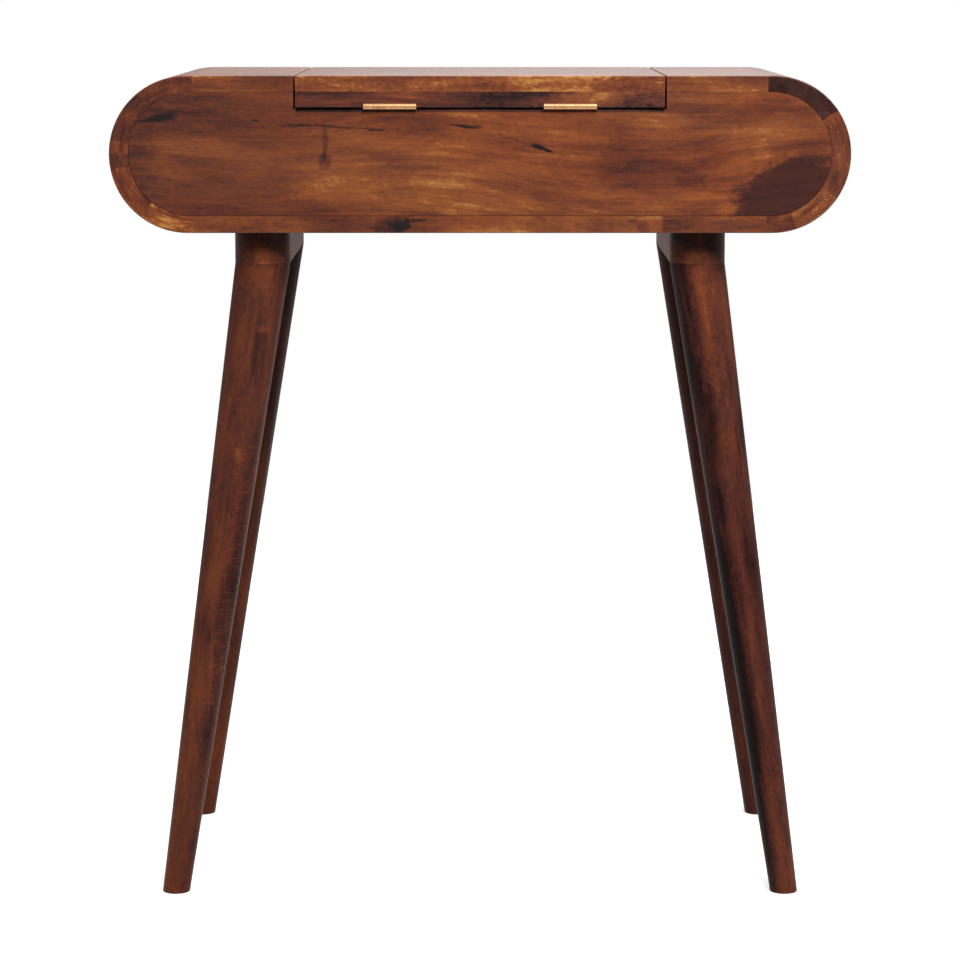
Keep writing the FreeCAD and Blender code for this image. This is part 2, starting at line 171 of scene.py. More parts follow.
class VanityMetal(bpy.types.PropertyGroup):
    """Brass and steel fittings and the mirror."""

    brass: bpy.props.FloatVectorProperty(
        name="Brass", description="Polished brass", subtype="COLOR_GAMMA",
        default=(0.72, 0.54, 0.385), min=0, max=1,
    )
    tarnish: bpy.props.FloatVectorProperty(
        name="Tarnish", description="Dull patches on the brass", subtype="COLOR_GAMMA",
        default=(0.45, 0.32, 0.18), min=0, max=1,
    )
    steel: bpy.props.FloatVectorProperty(
        name="Steel", description="Zinc-plated steel", subtype="COLOR_GAMMA",
        default=(0.72, 0.73, 0.74), min=0, max=1,
    )
    silver: bpy.props.FloatVectorProperty(
        name="Mirror", description="Silvering behind the glass", subtype="COLOR_GAMMA",
        default=(0.93, 0.95, 0.94), min=0, max=1,
    )


class VanityStage(bpy.types.PropertyGroup):
    """Floor, lights and camera."""

    floor: bpy.props.FloatVectorProperty(
        name="Floor", description="Plain pale floor", subtype="COLOR_GAMMA",
        default=(0.93, 0.93, 0.93), min=0, max=1,
    )
    paper_glow: bpy.props.FloatProperty(
        name="Paper glow", description="Light that comes through the floor paper", default=0.4, min=0,
    )
    distance: bpy.props.FloatProperty(
        name="Distance", description="Camera in front of the hinge side", unit="LENGTH", default=3.279,
    )
    height: bpy.props.FloatProperty(
        name="Height", description="Camera above the floor", unit="LENGTH", default=0.8738,
    )
    pitch: bpy.props.FloatProperty(
        name="Pitch", description="Camera looks down by", subtype="ANGLE", default=0.14164,
    )
    lens: bpy.props.FloatProperty(
        name="Lens", description="Focal length on a 36 mm sensor", unit="CAMERA", default=130.04,
    )
    key: bpy.props.FloatProperty(
        name="Key", description="Power of the large light in front", unit="POWER", default=125.0,
    )
    ceiling: bpy.props.FloatProperty(
        name="Ceiling", description="Brightness straight overhead", default=1.35, min=0,
    )
    backdrop: bpy.props.FloatProperty(
        name="Backdrop", description="Brightness of the room behind the table", default=0.37, min=0,
    )
    sides: bpy.props.FloatProperty(
        name="Sides", description="Brightness of the room to the left and right", default=0.3, min=0,
    )
    dimness: bpy.props.FloatProperty(
        name="Room", description="Brightness everywhere else", default=0.05, min=0,
    )


def linear(colour):
    """Screen colour as linear light with full alpha: ((c + 0.055) / 1.055) ** 2.4 above the toe."""
    screen = np.asarray(colour, float)
    light = np.where(screen > 0.04045, ((screen + 0.055) / 1.055) ** 2.4, screen / 12.92)
    return (*light, 1.0)


def darker(colour, share):
    """Screen colour times a share of its brightness."""
    return [part * share for part in colour]


class Amount:
    """A number that varies over a surface. Arithmetic on it adds Math nodes."""

    def __init__(self, finish, socket):
        self.finish = finish
        self.socket = socket

    def math(self, operation, *others):
        """One Math node on this value and the others."""
        return self.finish.node(
            "ShaderNodeMath", {"operation": operation}, dict(enumerate((self, *others)))
        )

    def __add__(self, other):
        return self.math("ADD", other)

    def __mul__(self, other):
        return self.math("MULTIPLY", other)

    def __sub__(self, other):
        return self.math("SUBTRACT", other)

    def __rsub__(self, other):
        return self.math("MULTIPLY_ADD", -1.0, other)

    def __truediv__(self, other):
        return self.math("DIVIDE", other)

    def __rtruediv__(self, other):
        return self.finish.node("ShaderNodeMath", {"operation": "DIVIDE"}, {0: other, 1: self})

    def __abs__(self):
        return self.math("ABSOLUTE")

    __radd__ = __add__
    __rmul__ = __mul__

    def least(self, other):
        """The smaller of two values."""
        return self.math("MINIMUM", other)

    def most(self, other):
        """The larger of two values."""
        return self.math("MAXIMUM", other)

    def step(self, low, high):
        """Smooth step from 0 at low to 1 at high; low may be the larger."""
        return self.finish.node(
            "ShaderNodeMapRange",
            {"interpolation_type": "SMOOTHSTEP"},
            {"Value": self, "From Min": low, "From Max": high},
        )


class Nodes:
    """The node tree of a material or of the room, emptied, with its point or direction."""

    def __init__(self, owner, where):
        owner.use_nodes = True
        self.tree = owner.node_tree
        self.tree.nodes.clear()
        self.point = self.node("ShaderNodeTexCoord", output=where)
        self.x, self.y, self.z = self.split(self.point)

    def node(self, kind, settings=None, inputs=None, output=0):
        """Any node: its type, its settings, then the values or links of its sockets; gives one output."""
        made = self.tree.nodes.new(kind)
        for key, value in (settings or {}).items():
            if key == "stops":
                set_stops(made.color_ramp, value)
            elif key == "interpolation":
                made.color_ramp.interpolation = value
            else:
                setattr(made, key, value)
        for key, value in (inputs or {}).items():
            if isinstance(value, Amount):
                self.tree.links.new(value.socket, made.inputs[key])
            else:
                made.inputs[key].default_value = value
        return Amount(self, made.outputs[output] if made.outputs else None)

    def split(self, vector):
        """The three parts of a vector."""
        first = self.node("ShaderNodeSeparateXYZ", None, {0: vector})
        return [Amount(self, socket) for socket in first.socket.node.outputs]


class Finish(Nodes):
    """One material's nodes, with the point of the surface in metres."""

    def __init__(self, name):
        self.material = bpy.data.materials.new(name)
        super().__init__(self.material, "Object")

    def vector(self, x, y, z):
        """A vector from three values."""
        return self.node("ShaderNodeCombineXYZ", None, {0: x, 1: y, 2: z})

    def noise(self, vector, cells, detail=2.0, roughness=0.5):
        """Fractal noise about 0.5, with its cells per metre along each axis."""
        scaled = self.node("ShaderNodeVectorMath", {"operation": "MULTIPLY"}, {0: vector, 1: cells})
        return self.node(
            "ShaderNodeTexNoise",
            None,
            {"Vector": scaled, "Scale": 1.0, "Detail": detail, "Roughness": roughness},
        )

    def mix(self, share, first, second, blend="MIX"):
        """Two colours mixed by a share."""
        return self.node(
            "ShaderNodeMix", {"data_type": "RGBA", "blend_type": blend}, {0: share, 6: first, 7: second}, 2
        )

    def ramp(self, value, stops, interpolation="LINEAR"):
        """Colour read off a ramp."""
        return self.node("ShaderNodeValToRGB", {"stops": stops, "interpolation": interpolation}, {0: value})

    def distance(self, point, centre, size, turn=0.0, taper=0.0):
        """Distance from a place in units of a mark's half sizes, the mark turned about Y and thicker
        towards one end: sqrt(u^2 + v^2 + (w / (1 + taper u))^2)."""
        local = self.node(
            "ShaderNodeMapping",
            {"vector_type": "TEXTURE"},
            {"Vector": point, "Location": centre, "Rotation": (0, turn, 0), "Scale": size},
        )
        u, v, w = self.split(local)
        local = self.vector(u, v, w / (u * taper + 1.0).most(0.1))
        return self.node("ShaderNodeVectorMath", {"operation": "LENGTH"}, {0: local}, "Value")

    def surface(self, colour, roughness, height=None, depth=0.0003, **constants):
        """Close the tree with one shader; height is the relief in units of depth."""
        inputs = {"Base Color": colour, "Roughness": roughness, **constants}
        if height is not None:
            inputs["Normal"] = self.node(
                "ShaderNodeBump", None, {"Strength": 1.0, "Distance": depth, "Height": height}
            )
        shader = self.node("ShaderNodeBsdfPrincipled", None, inputs)
        self.node("ShaderNodeOutputMaterial", None, {"Surface": shader})
        return self.material


def set_stops(ramp, stops):
    """Give a ramp its stops, each a place and a colour."""
    while len(ramp.elements) < len(stops):
        ramp.elements.new(1.0)
    for element, (place, colour) in zip(ramp.elements, stops):
        element.position = place
        element.color = colour


def dress(material, *nodes):
    """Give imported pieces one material."""
    for name in nodes:
        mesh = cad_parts[name].data
        mesh.materials.clear()
        mesh.materials.append(material)


class Mark(NamedTuple):
    """A ragged oval of another tone: middle, half sizes, turn about Y, tone, how ragged and how soft its
    rim is, half depth. Its height z counts from a level that is given with it."""

    x: float
    z: float
    wide: float
    tall: float
    turn: float = 0.0
    tone: float = 0.0
    ragged: float = 2.5
    soft: float = 0.35
    deep: float = THROUGH


class Split(NamedTuple):
    """A dark split: middle, half sizes, turn about Y, darkness, how ragged its rim is, by how much it gets
    thicker towards one end, half depth. Its height z counts from a level that is given with it."""

    x: float
    z: float
    wide: float
    tall: float
    turn: float = 0.0
    dark: float = 1.0
    ragged: float = 2.0
    taper: float = 0.0
    deep: float = THROUGH


class Wood(Finish):
    """Stained wood: a tone from 0, black heartwood, to 1, gold, read off the stain's five colours."""

    def __init__(self, name, grain, seed):
        super().__init__(name)
        along, across, through = [part + seed * shift for part, shift in zip(grain(self), SEED_SHIFT)]
        # The grain sways sideways along the timber
        sway = self.noise(self.vector(along, across, through), (2.2, 7.0, 7.0), 2.0) - 0.5
        self.grain = self.vector(along, across + sway * 0.09, through + sway * 0.03)
        self.drift = self.layer(2.2, 13.0, 2.0) - 0.5
        self.blotch = self.layer(14.0, 50.0, 3.0, 0.55) - 0.5
        self.bands = self.layer(7.0, 130.0, 3.0, 0.6) - 0.5
        self.fibre = self.layer(18.0, 700.0, 2.0, 0.6) - 0.5
        self.mottle = self.layer(190.0, 240.0, 3.0, 0.6) - 0.5
        self.dashes = self.layer(70.0, 480.0, 2.0).step(0.60, 0.74)
        self.flecks = self.layer(110.0, 480.0, 3.0, 0.6).step(0.56, 0.74)
        self.pores = self.layer(110.0, 2400.0, 1.0).step(0.62, 0.74)
        self.blush = self.layer(4.0, 10.0, 2.0).step(0.42, 0.62)
        self.ragged = self.noise(self.point, (150.0, 150.0, 220.0), 4.0, 0.6) - 0.5
        # Marks are bent by a few millimetres
        wave = self.noise(self.point, (24.0, 24.0, 24.0), 2.0) - 0.5
        self.place = self.vector(self.x + wave * 0.014, self.y, self.z + wave * 0.006)
        self.tone = None
        self.ink = None

    def layer(self, along, across, detail, roughness=0.5):
        """Noise about 0.5 with its cells per metre along and across the grain."""
        return self.noise(self.grain, (along, across, across), detail, roughness)

    def figure(self, base, contrast=1.0, gold=1.0, mottle=0.2):
        """Add the wood's own figure about a base tone; the gold flecks lie in its lighter parts."""
        cloud = self.drift * 0.7 + self.blotch * 0.9 + self.bands * 0.55 + self.fibre * 0.2
        light = cloud.step(-0.06, 0.12) * (0.2 * gold)
        self.tone = cloud * contrast + self.mottle * mottle + self.flecks * light - self.dashes * 0.14 + base

    def patch(self, mark, level, y=0.0):
        """Add a mark's tone inside its oval."""
        self.tone = self.tone + self.oval(mark, level, y) * mark.tone

    def heartwood(self, mark, level, y=0.0):
        """Cover most of the figure inside an oval with the mark's tone."""
        self.tone = self.tone + (mark.tone - self.tone) * self.oval(mark, level, y) * 0.75

    def oval(self, mark, level, y):
        """1 inside a mark's ragged oval and 0 outside, with a soft rim."""
        size = (mark.wide, mark.deep, mark.tall)
        away = self.distance(self.place, (mark.x, y, level + mark.z), size, mark.turn)
        return (away + self.ragged * mark.ragged).step(1 + mark.soft, 1 - mark.soft)

    def split_line(self, split, level, y=0.0):
        """Add a dark split with a ragged rim."""
        size = (split.wide, split.deep, split.tall)
        away = self.distance(self.place, (split.x, y, level + split.z), size, split.turn, split.taper)
        inside = (away + self.ragged * split.ragged).step(1.3, 0.6) * split.dark
        self.ink = inside if self.ink is None else self.ink.most(inside)

    def rub(self, mask, tone):
        """Lighten or darken the wood where a mask says so."""
        self.tone = self.tone + mask * tone

    def hinge_face(self):
        """1 on the face of the hinge side, 0 from a skin's depth in."""
        return self.y.step(SKIN - half_depth, -half_depth)

    def both_faces(self):
        """1 on the faces of the hinge side and the sitter's side, 0 from a skin's depth in."""
        return abs(self.y).step(half_depth - SKIN, half_depth)

    def crown(self):
        """1 on the table's top and 0 on its faces and from 12 mm down the round ends."""
        inward = half_depth - abs(self.y)
        top = self.z.step(table_top - TOP_LACQUER_START, table_top - TOP_LACQUER_FULL)
        return top * inward.step(0.0, SKIN / 2)

    def done(self, roughness=0.36, shine=1.0):
        """Close the tree with the stain's colours, pores and lacquer; less shine is for thinner lacquer."""
        wood = bpy.context.scene.vanity_wood
        stains = (wood.heart, wood.dark, wood.chestnut, wood.amber, wood.gold)
        stops = [(place / (len(stains) - 1), linear(stain)) for place, stain in enumerate(stains)]
        colour = self.ramp(self.tone, stops)
        colour = self.mix(self.blush * 0.4, colour, linear(ROSE), "MULTIPLY")
        colour = self.mix(self.pores * 0.35, colour, linear(wood.heart))
        height = self.fibre * 0.5 + self.bands * 0.3 - self.pores * 0.6 - self.dashes * 0.5
        rough = self.pores * 0.2 - self.flecks * 0.05 + self.drift * 0.2 + roughness
        coat = self.crown() * wood.top_gloss + wood.gloss * shine
        if self.ink is not None:
            colour = self.mix(self.ink, colour, linear(darker(wood.heart, 0.7)))
            height = height - self.ink * 1.2
            rough = rough + self.ink * 0.4
            coat = (1 - self.ink) * coat
        lacquer = {"Coat Weight": coat, "Coat Roughness": 0.22, "Specular IOR Level": 0.2 * shine}
        return self.surface(colour, rough, height, depth=0.00006, **lacquer)


def grain_x(finish):
    """Fibres along the table."""
    return finish.x, finish.z, finish.y


def grain_panel(finish):
    """Fibres along the table that drop 16 mm towards the right across the middle."""
    return finish.x, finish.z + finish.x.step(-0.12, 0.12) * 0.016, finish.y


def grain_y(finish):
    """Fibres from the hinge side to the sitter's side."""
    return finish.y, finish.x, finish.z


def grain_leg(finish):
    """Fibres along each splayed leg, with a different stretch of timber for each of the four."""
    across = abs(finish.x) - finish.z * leg_lean_x
    through = abs(finish.y) + finish.z * leg_lean_y
    which = finish.x.math("SIGN") * 1.7 + finish.y.math("SIGN") * 0.6
    return finish.z + which, across, through


def edge_of(finish, node):
    """Nearness to the edges of a square board: 1 on an edge, 0 from 4 mm in. It is the middle one of the
    distances to the three pairs of faces."""
    low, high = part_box(node)
    centre = (low + high) / 2
    half = (high - low) / 2
    gaps = [
        half[axis] - abs(value - centre[axis])
        for axis, value in enumerate((finish.x, finish.y, finish.z))
    ]
    smaller = gaps[0].least(gaps[1])
    larger = gaps[0].most(gaps[1])
    return smaller.most(larger.least(gaps[2])).step(EDGE_WEAR, 0.0)


def past_outline(finish):
    """Distance outside the body's half-round-ended outline, less than 0 inside it:
    sqrt(max(|x| - arc_x, 0)^2 + (z - middle)^2) - radius."""
    beyond = (abs(finish.x) - end_arc_x).most(0.0)
    rise = finish.z - body_middle
    return (beyond * beyond + rise * rise).math("SQRT") - end_radius


def hinge_side_panel_wood():
    """Wood of the panel under the hinges: a dark heart at the right, knots, splits and an upright mark."""
    panel = Wood("panel_wood_hinge_side", grain_panel, seed=1)
    panel.figure(0.62, panel.x.step(-0.05, -0.15) * -0.28 + 1.04, gold=0.7, mottle=0.28)
    shades = {
        "left half": (-0.06, -0.24, -0.14),
        "left end": (-0.24, -0.33, -0.08),
        "right half": (0.04, 0.15, -0.085),
    }
    for start, full, tone in shades.values():
        panel.rub(panel.x.step(start, full), tone)
    patches = {
        "shade at the left end": Mark(-0.322, -0.088, 0.018, 0.032, 0.0, -0.13, 1.5, 0.6),
        "spot left of the heart": Mark(0.247, -0.113, 0.010, 0.008, 0.0, -0.14, 2.0, 0.4),
        "cloud right of the middle": Mark(0.197, -0.094, 0.013, 0.007, 0.0, -0.17, 2.5, 0.5),
        "halo of the left knot": Mark(-0.306, -0.041, 0.024, 0.005, -0.32, -0.06, 2.5, 0.5),
        "upright mark": Mark(-0.1475, -0.062, 0.003, 0.017, 0.0, -0.2, 1.0, 0.3),
        "foot of the upright mark": Mark(-0.1465, -0.080, 0.0068, 0.0082, 0.0, -0.24, 1.2, 0.25),
        "halo of the middle split": Mark(-0.016, -0.0455, 0.017, 0.004, 0.14, -0.1, 2.5, 0.5),
        "light stretch at the seam": Mark(-0.095, -0.026, 0.030, 0.006, 0.0, 0.1, 2.5, 0.5),
        "gold above the heart": Mark(0.263, -0.070, 0.008, 0.008, 0.0, 0.16, 2.5, 0.5),
        "light band under the middle": Mark(0.0, -0.115, 0.13, 0.014, 0.06, 0.05, 2.5, 0.6),
        "light band left of it": Mark(-0.12, -0.108, 0.05, 0.012, 0.0, 0.1, 2.5, 0.6),
        "gold below the heart": Mark(0.235, -0.126, 0.012, 0.006, 0.0, 0.14, 2.5, 0.6),
    }
    for patch in patches.values():
        panel.patch(patch, table_top)
    panel.heartwood(Mark(0.290, -0.110, 0.051, 0.030, -0.5, 0.06, 0.9, 0.2), table_top)
    seam_shade = (notch_bottom - panel.z).step(SEAM_SHADE_END, SEAM_SHADE_FULL)
    panel.rub(seam_shade * abs(panel.x).step(lid_high.x, lid_high.x - SKIN), -0.5)
    splits = {
        "left knot": Split(-0.3045, -0.0400, 0.0205, 0.0034, -0.2, 0.9, 0.7, 0.85),
        "long split": Split(-0.140, -0.0478, 0.046, 0.0011, 0.03, 0.75),
        "left part of the long split": Split(-0.170, -0.0466, 0.014, 0.0011, 0.0, 0.9),
        "right end of the long split": Split(-0.098, -0.0505, 0.009, 0.0012, 0.05, 0.8),
        "middle split": Split(-0.016, -0.0472, 0.014, 0.0014, 0.12, 0.9, 1.5, 0.4),
        "knot right of the middle": Split(0.060, -0.0687, 0.0135, 0.0022, 0.25, 1.0, 1.0, -0.4),
        "hair line to that knot": Split(0.032, -0.0597, 0.017, 0.0006, 0.37, 0.6),
        "nick left of the long split": Split(-0.212, -0.042, 0.004, 0.0012, 0.0, 0.8),
    }
    for split in splits.values():
        panel.split_line(split, table_top)
    return panel.done()


def user_side_panel_wood():
    """Wood of the panel under the finger scoop."""
    panel = Wood("panel_wood_user_side", grain_x, seed=2)
    panel.figure(0.57)
    panel.patch(Mark(-0.21, -0.09, 0.035, 0.012, 0.2, -0.3), table_top)
    panel.patch(Mark(0.12, -0.065, 0.02, 0.005, -0.1, -0.3), table_top)
    panel.split_line(Split(0.12, -0.065, 0.011, 0.0015, -0.1), table_top)
    panel.split_line(Split(-0.05, -0.1, 0.04, 0.001, 0.05, 0.7), table_top)
    return panel.done()


def round_end_wood(side, staves, seed):
    """Wood of a half-round end: staves, streaks along the curve on its faces, and worn rims."""
    end = Wood("end_wood_" + side, grain_y, seed)
    turn = (end.z - body_middle).math("ARCTAN2", abs(end.x) - end_arc_x) / pi + 0.5
    stops = [(start, (tone, tone, tone, 1.0)) for start, tone in staves]
    stave = end.ramp(turn + end.ragged * 0.02, stops, "CONSTANT")
    face = end.both_faces()
    end.figure(stave, stave * 0.6 + 0.25, gold=stave * (face * 3.2 + 1.2))
    past_rim = past_outline(end)
    along_rim = end.vector(turn * (pi * end_radius) + stave * 5.0, past_rim + stave * 3.0, end.y)
    streaks = end.noise(along_rim, (30.0, 210.0, 6.0), 4.0, 0.62) - 0.5
    end.rub(streaks * face * stave, 2.4)
    worn = abs(past_rim).step(RIM_WEAR, 0.0) * abs(end.y).step(half_depth - RIM_WEAR_ROUND, half_depth)
    end.rub(worn, 0.08)
    end.rub((0.62 - stave) * end.crown(), 0.8)
    return end.done()


def board_wood(node, seed, base):
    """Wood of a fixed board of the top or the bottom, with more gold on its hinge-side edge."""
    board = Wood("wood_" + node, grain_x, seed)
    edge = board.hinge_face()
    board.figure(base, gold=edge * 1.2 + 0.5, mottle=edge * 0.12 + 0.24)
    board.rub(edge_of(board, node), 0.06)
    if node == "bottom_board":
        mark_bottom_board(board)
    return board.done()


def mark_bottom_board(board):
    """Add the light right half, the dark right end, two spots and two splits of the hinge-side edge."""
    near_face = board.y.step(EDGE_SHADE_END - half_depth, EDGE_SHADE_FULL - half_depth)
    shades = {"right half": (-0.12, 0.06, 0.2), "right end": (0.171, 0.175, -0.3)}
    for start, full, tone in shades.values():
        board.rub(board.x.step(start, full) * near_face, tone)
    patches = {
        "halo of the splits": Mark(-0.090, 0.006, 0.017, 0.008, -0.2, -0.2, deep=0.06),
        "spot at the right end": Mark(0.151, 0.006, 0.006, 0.014, -0.6, -0.2, deep=0.06),
    }
    for patch in patches.values():
        board.patch(patch, body_bottom, -half_depth)
    splits = {
        "wide split": Split(-0.077, 0.0065, 0.0130, 0.0066, -0.3, 0.95, 2.2, deep=0.05),
        "thin split": Split(-0.060, 0.0118, 0.012, 0.0018, -0.1, 0.8, deep=0.03),
    }
    for split in splits.values():
        board.split_line(split, body_bottom, -half_depth)


def partition_wood(node, seed):
    """Wood of a side wall of the well, darker along its edges."""
    wall = Wood("wood_" + node, grain_y, seed)
    wall.figure(0.47, 0.8)
    wall.rub(edge_of(wall, node), -0.08)
    return wall.done(roughness=0.45)


def lid_wood():
    """Wood of the lid board, with light and dark stretches along its hinge-side edge."""
    lid = Wood("lid_wood", grain_x, seed=10)
    edge = lid.hinge_face()
    lid.figure(0.58, 0.9, gold=edge * 1.4 + 0.9, mottle=edge * 0.5 + 0.2)
    lid_middle = (lid_low.z + lid_high.z) / 2
    stretches = ((-0.035, 0.032, 0.08), (0.011, 0.014, -0.08), (0.072, 0.045, 0.26), (0.15, 0.02, -0.06))
    for x, wide, tone in stretches:
        lid.patch(Mark(x, 0.0, wide, 0.014, 0.0, tone, 2.0, 0.5, deep=0.02), lid_middle, -half_depth)
    lid.rub(edge_of(lid, "lid_board"), 0.06)
    return lid.done()


def batten_wood(side, seed, base):
    """Wood of a long batten under the lid: painted shade along its lower edge above the seam, with light and
    dark stretches.
    """
    batten = Wood("batten_wood_" + side, grain_x, seed)
    batten.figure(base, 1.2, gold=0.8)
    # Painted shade: darker along the lower edge, where the seam below it is shaded
    batten.rub((batten.z - batten_bottom).step(0.006, 0.0), -0.14)
    stretches = (
        (-0.085, 0.028, 0.10), (-0.03, 0.038, -0.13), (0.022, 0.022, -0.12), (0.088, 0.036, 0.26),
        (0.15, 0.03, -0.32),
    )
    for x, wide, tone in stretches:
        batten.patch(Mark(x, -0.008, wide, 0.007, -0.08, tone, 3.0, 0.6), lid_low.z)
    return batten.done(roughness=0.42)


def plain_wood(name, grain, seed, base, contrast, roughness):
    """Wood with no marks, for the short battens and the beads."""
    wood = Wood(name, grain, seed)
    wood.figure(base, contrast)
    return wood.done(roughness)


def leg_wood():
    """Wood of the four legs: each leg has its own tones and painted shade, and the hinge side's legs have
    marks; the gold near the top of each is partly a painted highlight.
    """
    leg = Wood("leg_wood", grain_leg, seed=16)
    leg.figure(0.36, 0.7, gold=0.9)
    hinge_side = leg.y.step(LEG_ROWS, -LEG_ROWS)
    right = leg.x.step(-LEG_SIDES, LEG_SIDES)
    leg.rub(right * leg.z.step(SHADE_TOP, SHADE_END), -0.1)
    foot = leg.z.step(0.12, 0.06)
    leg.rub(foot, 0.06)
    outward = abs(leg.x) - leg.z * leg_lean_x - leg_axis_x
    # Painted shade on the inner side of the right leg on the hinge side
    leg.rub(right * hinge_side * outward.step(0.002, -0.010), -0.19)
    lower_part = leg.z.step(0.4, 0.3)
    # Painted shade on the inner rims of the hinge side's legs, low down
    leg.rub(hinge_side * outward.step(-0.004, -0.012) * lower_part, -0.12)
    body_shade = leg.z.step(SHADE_END, SHADE_TOP) * 0.12 + 0.05
    leg.rub((1 - hinge_side) * (right * 0.5 + 0.5) * body_shade, -1.0)
    rays = leg.layer(420.0, 70.0, 2.0).step(0.52, 0.68)
    inner_side = outward.step(0.004, -0.01)
    below_middle = abs(leg.z - 0.3).step(0.18, 0.1)
    leg.rub(rays * (1 - right) * hinge_side * inner_side * below_middle, 0.16)
    from_top = {
        # Partly gold in the wood, partly a painted highlight on the left front leg below the rail
        "gold and painted highlight under the left rail": Mark(-0.209, -0.008, 0.011, 0.020, 0.1, 0.26, 2.0, 0.6, 0.03),
        "fleck below it": Mark(-0.206, -0.062, 0.006, 0.003, 0.0, 0.2, 2.0, 0.6, 0.03),
        "dark line below that": Mark(-0.214, -0.085, 0.004, 0.02, 0.15, -0.08, 2.0, 0.6, 0.03),
    }
    from_floor = {
        "light stretch of the left leg": Mark(-0.236, 0.46, 0.014, 0.075, 0.12, 0.12, 1.0, 0.6, 0.03),
        "fleck in it": Mark(-0.232, 0.43, 0.004, 0.007, 0.1, 0.24, 2.0, 0.6, 0.04),
    }
    for patch in from_top.values():
        leg.patch(patch, leg_high.z, leg_marks_y)
    for patch in from_floor.values():
        leg.patch(patch, 0.0, leg_marks_y)
    # Gold in the wood and a painted highlight down the right front leg
    gold_and_painted_highlight_right_leg = Mark(0.213, -0.055, 0.010, 0.060, -0.15, 0.3, 1.6, 0.6, 0.03)
    leg.patch(gold_and_painted_highlight_right_leg, leg_high.z, leg_marks_y)
    leg.rub(leg.z.step(EDGE_WEAR, 0.0), 0.08)
    return leg.done(roughness=0.45, shine=0.2)


def rail_wood():
    """Wood of the two rails: painted light towards the bottom, below the body's shade, more so on the right,
    with a spot each that is partly gold in the wood and partly painted light.
    """
    rail = Wood("rail_wood", grain_y, seed=17)
    rail.figure(0.26)
    lower = rail.z.step(rail_bottom + 0.026, rail_bottom + 0.006)
    # Painted light on the lower part of each rail, below the body's shade
    rail.rub(lower * (rail.x.step(-LEG_SIDES, LEG_SIDES) * 0.12 + 0.03), 1.0)
    # Spots that are partly gold in the wood and partly painted light, as on the leg tops
    for x in (-0.209, 0.206):
        spot = Mark(x, 0.002, 0.012, 0.016, 0.0, 0.14, 2.0, 0.6, 0.03)
        rail.patch(spot, rail_bottom, leg_marks_y)
    return rail.done(roughness=0.4, shine=0.6)


def mirror_silver():
    """Silvered glass with a little haze and dust."""
    silver = bpy.context.scene.vanity_metal.silver
    glass = Finish("mirror_glass")
    haze = glass.noise(glass.point, (14.0, 14.0, 14.0), 4.0, 0.6)
    dust = glass.noise(glass.point, (900.0, 900.0, 900.0), 1.0).step(0.66, 0.74)
    tint = glass.mix(haze.step(0.45, 0.75) * 0.08, linear(silver), linear(GLASS_HAZE))
    rough = haze.step(0.5, 0.8) * 0.03 + dust * 0.08 + 0.015
    return glass.surface(tint, rough, Metallic=1.0)


def hardboard():
    """Brown pressed fibre, more even in clouds."""
    board = Finish("hardboard")
    felt = board.noise(board.point, (700.0, 700.0, 160.0), 4.0, 0.7)
    cloud = board.noise(board.point, (40.0, 40.0, 40.0), 3.0)
    brown = board.mix(felt.step(0.35, 0.65), linear(HARDBOARD_DARK), linear(HARDBOARD_PALE))
    brown = board.mix(cloud.step(0.4, 0.7) * 0.4, brown, linear(HARDBOARD_CLOUD))
    return board.surface(brown, felt * 0.2 + 0.65, felt, depth=0.0002)


def brushed_brass():
    """Brass brushed along the table, with tarnished clouds."""
    metal = bpy.context.scene.vanity_metal
    brass = Finish("brass")
    brushed = brass.noise(brass.point, (60.0, 2600.0, 2600.0), 2.0) - 0.5
    cloud = brass.noise(brass.point, (70.0, 140.0, 140.0), 3.0, 0.5)
    stain = cloud.step(0.5, 0.75) * 0.45
    colour = brass.mix(stain, linear(metal.brass), linear(metal.tarnish))
    rough = stain * 0.2 + brushed * 0.1 + 0.46
    return brass.surface(colour, rough, brushed, depth=0.00002, Metallic=1.0)


def dull_brass():
    """Darker brass of the hinge screws."""
    metal = bpy.context.scene.vanity_metal
    dull = Finish("dull_brass")
    worn = dull.noise(dull.point, (900.0, 900.0, 900.0), 2.0)
    colour = dull.mix(worn.step(0.35, 0.65), linear(metal.tarnish), linear(darker(metal.brass, 0.8)))
    return dull.surface(colour, worn * 0.3 + 0.3, worn, depth=0.00002, Metallic=1.0)


def plated_steel():
    """Zinc-plated steel with a faint spangle."""
    metal = bpy.context.scene.vanity_metal
    steel = Finish("plated_steel")
    spangle = steel.noise(steel.point, (220.0, 220.0, 220.0), 3.0)
    grey = steel.mix(spangle.step(0.4, 0.7), linear(metal.steel), linear(darker(metal.steel, 0.78)))
    return steel.surface(grey, spangle * 0.25 + 0.25, Metallic=1.0)


def dowel_wood():
    """Pale unstained beech."""
    beech = Finish("dowel_wood")
    fibre = beech.noise(beech.point, (30.0, 900.0, 900.0), 3.0)
    pale = beech.mix(fibre.step(0.3, 0.7), linear(BEECH_DARK), linear(BEECH_PALE))
    return beech.surface(pale, fibre * 0.2 + 0.5, fibre, depth=0.0001)


class VANITY_OT_panels(bpy.types.Operator):
    """Finish the two flat panels that close the body"""

    bl_idname = "vanity.panels"
    bl_label = "Body panels"

    def execute(self, context):
        dress(hinge_side_panel_wood(), "panel_hinge_side")
        dress(user_side_panel_wood(), "panel_user_side")
        return {"FINISHED"}


class VANITY_OT_round_ends(bpy.types.Operator):
    """Finish the half-round ends, each glued up from staves that run from front to back"""

    bl_idname = "vanity.round_ends"
    bl_label = "Round ends"

    def execute(self, context):
        for seed, (side, staves) in enumerate(STAVES.items(), 3):
            dress(round_end_wood(side, staves, seed), "round_end_" + side)
        return {"FINISHED"}


